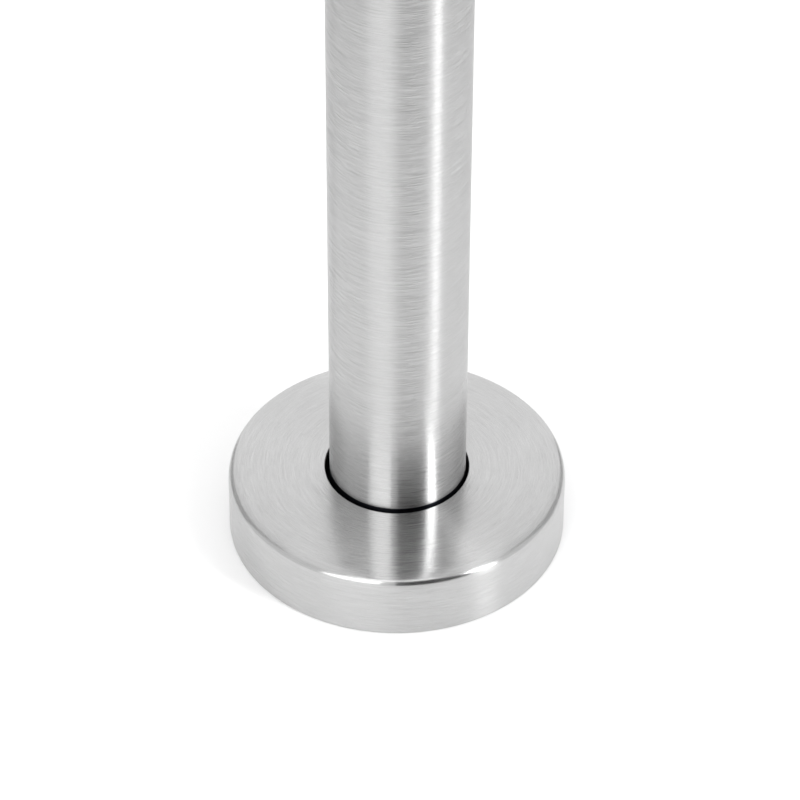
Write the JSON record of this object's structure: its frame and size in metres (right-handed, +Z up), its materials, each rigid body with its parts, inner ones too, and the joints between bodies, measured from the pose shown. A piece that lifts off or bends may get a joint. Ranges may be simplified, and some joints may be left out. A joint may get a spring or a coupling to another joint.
{
  "type": "glass railing post",
  "caption": "Round satin stainless post for a glass railing, with a bolted base flange under a pressed cover, clamps for glass on both sides and a domed end cap.",
  "frame": {"origin": "on the tube's axis, at the underside of the base flange", "axes": "+Z up along the tube, X along the railing towards the glass panels, -Y the front, where the clamps' jaws are"},
  "size_m": [0.1464, 0.105, 1],
  "materials": {
    "tube_satin": "satin, brushed round the tube",
    "cover_satin": "satin, turned rings on the top and fine lines round the wall",
    "cap_satin": "satin, turned rings",
    "flange_steel": "plain pickled plate, turned",
    "weld_metal": "rippled weld bead",
    "clamp_satin": "satin, brushed along the clamp",
    "screw_steel": "bright cold formed",
    "nut_steel": "plain",
    "pad_rubber": "matt moulded"
  },
  "bodies": {
    "post": {"post_tube": "tube_satin", "base_flange": "flange_steel", "base_weld": "weld_metal", "top_cap": "cap_satin", "rivet_nuts": "nut_steel", "lower_left_clamp_body": "clamp_satin", "lower_left_pad_back": "pad_rubber", "lower_left_mount_screw": "screw_steel", "lower_right_clamp_body": "clamp_satin", "lower_right_pad_back": "pad_rubber", "lower_right_mount_screw": "screw_steel", "upper_left_clamp_body": "clamp_satin", "upper_left_pad_back": "pad_rubber", "upper_left_mount_screw": "screw_steel", "upper_right_clamp_body": "clamp_satin", "upper_right_pad_back": "pad_rubber", "upper_right_mount_screw": "screw_steel"},
    "cover": {"base_cover": "cover_satin"},
    "lower_left_jaw": {"lower_left_clamp_jaw": "clamp_satin", "lower_left_pad_front": "pad_rubber", "lower_left_jaw_screws": "screw_steel"},
    "lower_right_jaw": {"lower_right_clamp_jaw": "clamp_satin", "lower_right_pad_front": "pad_rubber", "lower_right_jaw_screws": "screw_steel"},
    "upper_left_jaw": {"upper_left_clamp_jaw": "clamp_satin", "upper_left_pad_front": "pad_rubber", "upper_left_jaw_screws": "screw_steel"},
    "upper_right_jaw": {"upper_right_clamp_jaw": "clamp_satin", "upper_right_pad_front": "pad_rubber", "upper_right_jaw_screws": "screw_steel"}
  },
  "joints": [
    {"name": "cover_lift", "type": "slide", "parent": "post", "child": "cover", "axis": [0, 0, 1], "range_m": [0, 0.205]},
    {"name": "lower_left_jaw_slide", "type": "slide", "parent": "post", "child": "lower_left_jaw", "axis": [0, -1, 0], "range_m": [0, 0.006]},
    {"name": "lower_right_jaw_slide", "type": "slide", "parent": "post", "child": "lower_right_jaw", "axis": [0, -1, 0], "range_m": [0, 0.006]},
    {"name": "upper_left_jaw_slide", "type": "slide", "parent": "post", "child": "upper_left_jaw", "axis": [0, -1, 0], "range_m": [0, 0.006]},
    {"name": "upper_right_jaw_slide", "type": "slide", "parent": "post", "child": "upper_right_jaw", "axis": [0, -1, 0], "range_m": [0, 0.006]}
  ]
}
